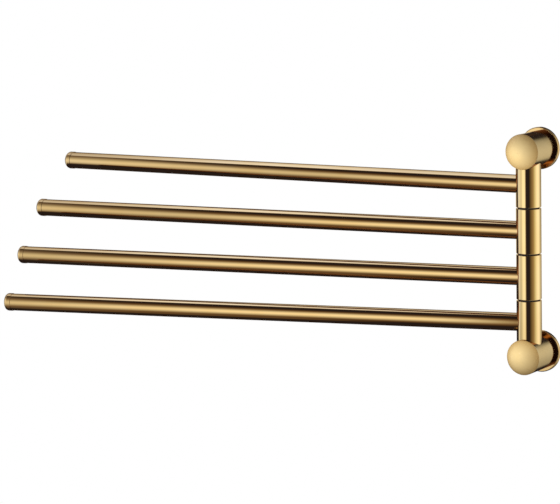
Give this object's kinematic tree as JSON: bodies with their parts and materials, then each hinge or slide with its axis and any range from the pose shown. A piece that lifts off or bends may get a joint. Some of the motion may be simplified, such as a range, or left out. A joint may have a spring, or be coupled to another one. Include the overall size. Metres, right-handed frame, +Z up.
{
  "type": "swivel towel holder",
  "caption": "Wall-mounted gold towel holder: round bars swing one above the other about an upright column held between domed wall posts.",
  "frame": {"origin": "on the wall plane, midway between the two posts, at the centre of the pattern of wall screws", "axes": "+Y into the wall, so the room is towards -Y; +Z up along the column; the bars point towards -X at rest"},
  "size_m": [0.4737, 0.1267, 0.1966],
  "materials": {
    "post_gold": "satin",
    "flange_gold": "polished",
    "sleeve_gold": "polished",
    "bar_gold": "polished",
    "cap_gold": "polished",
    "plate_steel": "zinc plated",
    "rod_steel": "ground",
    "screw_steel": "satin",
    "washer_black": "matt",
    "bush_nylon": "matt"
  },
  "bodies": {
    "bracket": {"upper_post": "post_gold", "lower_post": "post_gold", "upper_flange": "flange_gold", "lower_flange": "flange_gold", "upper_wall_plate": "plate_steel", "lower_wall_plate": "plate_steel", "upper_post_screw": "screw_steel", "lower_post_screw": "screw_steel", "pivot_rod": "rod_steel", "upper_rod_screw": "screw_steel", "lower_rod_screw": "screw_steel", "washer_1": "washer_black", "washer_2": "washer_black", "washer_3": "washer_black", "washer_4": "washer_black", "washer_5": "washer_black"},
    "arm_1": {"sleeve_1": "sleeve_gold", "bar_1": "bar_gold", "spigot_1": "rod_steel", "end_cap_1": "cap_gold", "upper_bush_1": "bush_nylon", "lower_bush_1": "bush_nylon"},
    "arm_2": {"sleeve_2": "sleeve_gold", "bar_2": "bar_gold", "spigot_2": "rod_steel", "end_cap_2": "cap_gold", "upper_bush_2": "bush_nylon", "lower_bush_2": "bush_nylon"},
    "arm_3": {"sleeve_3": "sleeve_gold", "bar_3": "bar_gold", "spigot_3": "rod_steel", "end_cap_3": "cap_gold", "upper_bush_3": "bush_nylon", "lower_bush_3": "bush_nylon"},
    "arm_4": {"sleeve_4": "sleeve_gold", "bar_4": "bar_gold", "spigot_4": "rod_steel", "end_cap_4": "cap_gold", "upper_bush_4": "bush_nylon", "lower_bush_4": "bush_nylon"}
  },
  "joints": [
    {"name": "arm_1_swing", "type": "hinge", "parent": "bracket", "child": "arm_1", "pos_m": [0, -0.022, 0.0549], "axis": [0, 0, 1], "range_deg": [-0.3, 183.1]},
    {"name": "arm_2_swing", "type": "hinge", "parent": "bracket", "child": "arm_2", "pos_m": [0, -0.022, 0.0183], "axis": [0, 0, 1], "range_deg": [-6.1, 177.3]},
    {"name": "arm_3_swing", "type": "hinge", "parent": "bracket", "child": "arm_3", "pos_m": [0, -0.022, -0.0183], "axis": [0, 0, 1], "range_deg": [-10.5, 172.9]},
    {"name": "arm_4_swing", "type": "hinge", "parent": "bracket", "child": "arm_4", "pos_m": [0, -0.022, -0.0549], "axis": [0, 0, 1], "range_deg": [-14.1, 169.3]}
  ]
}
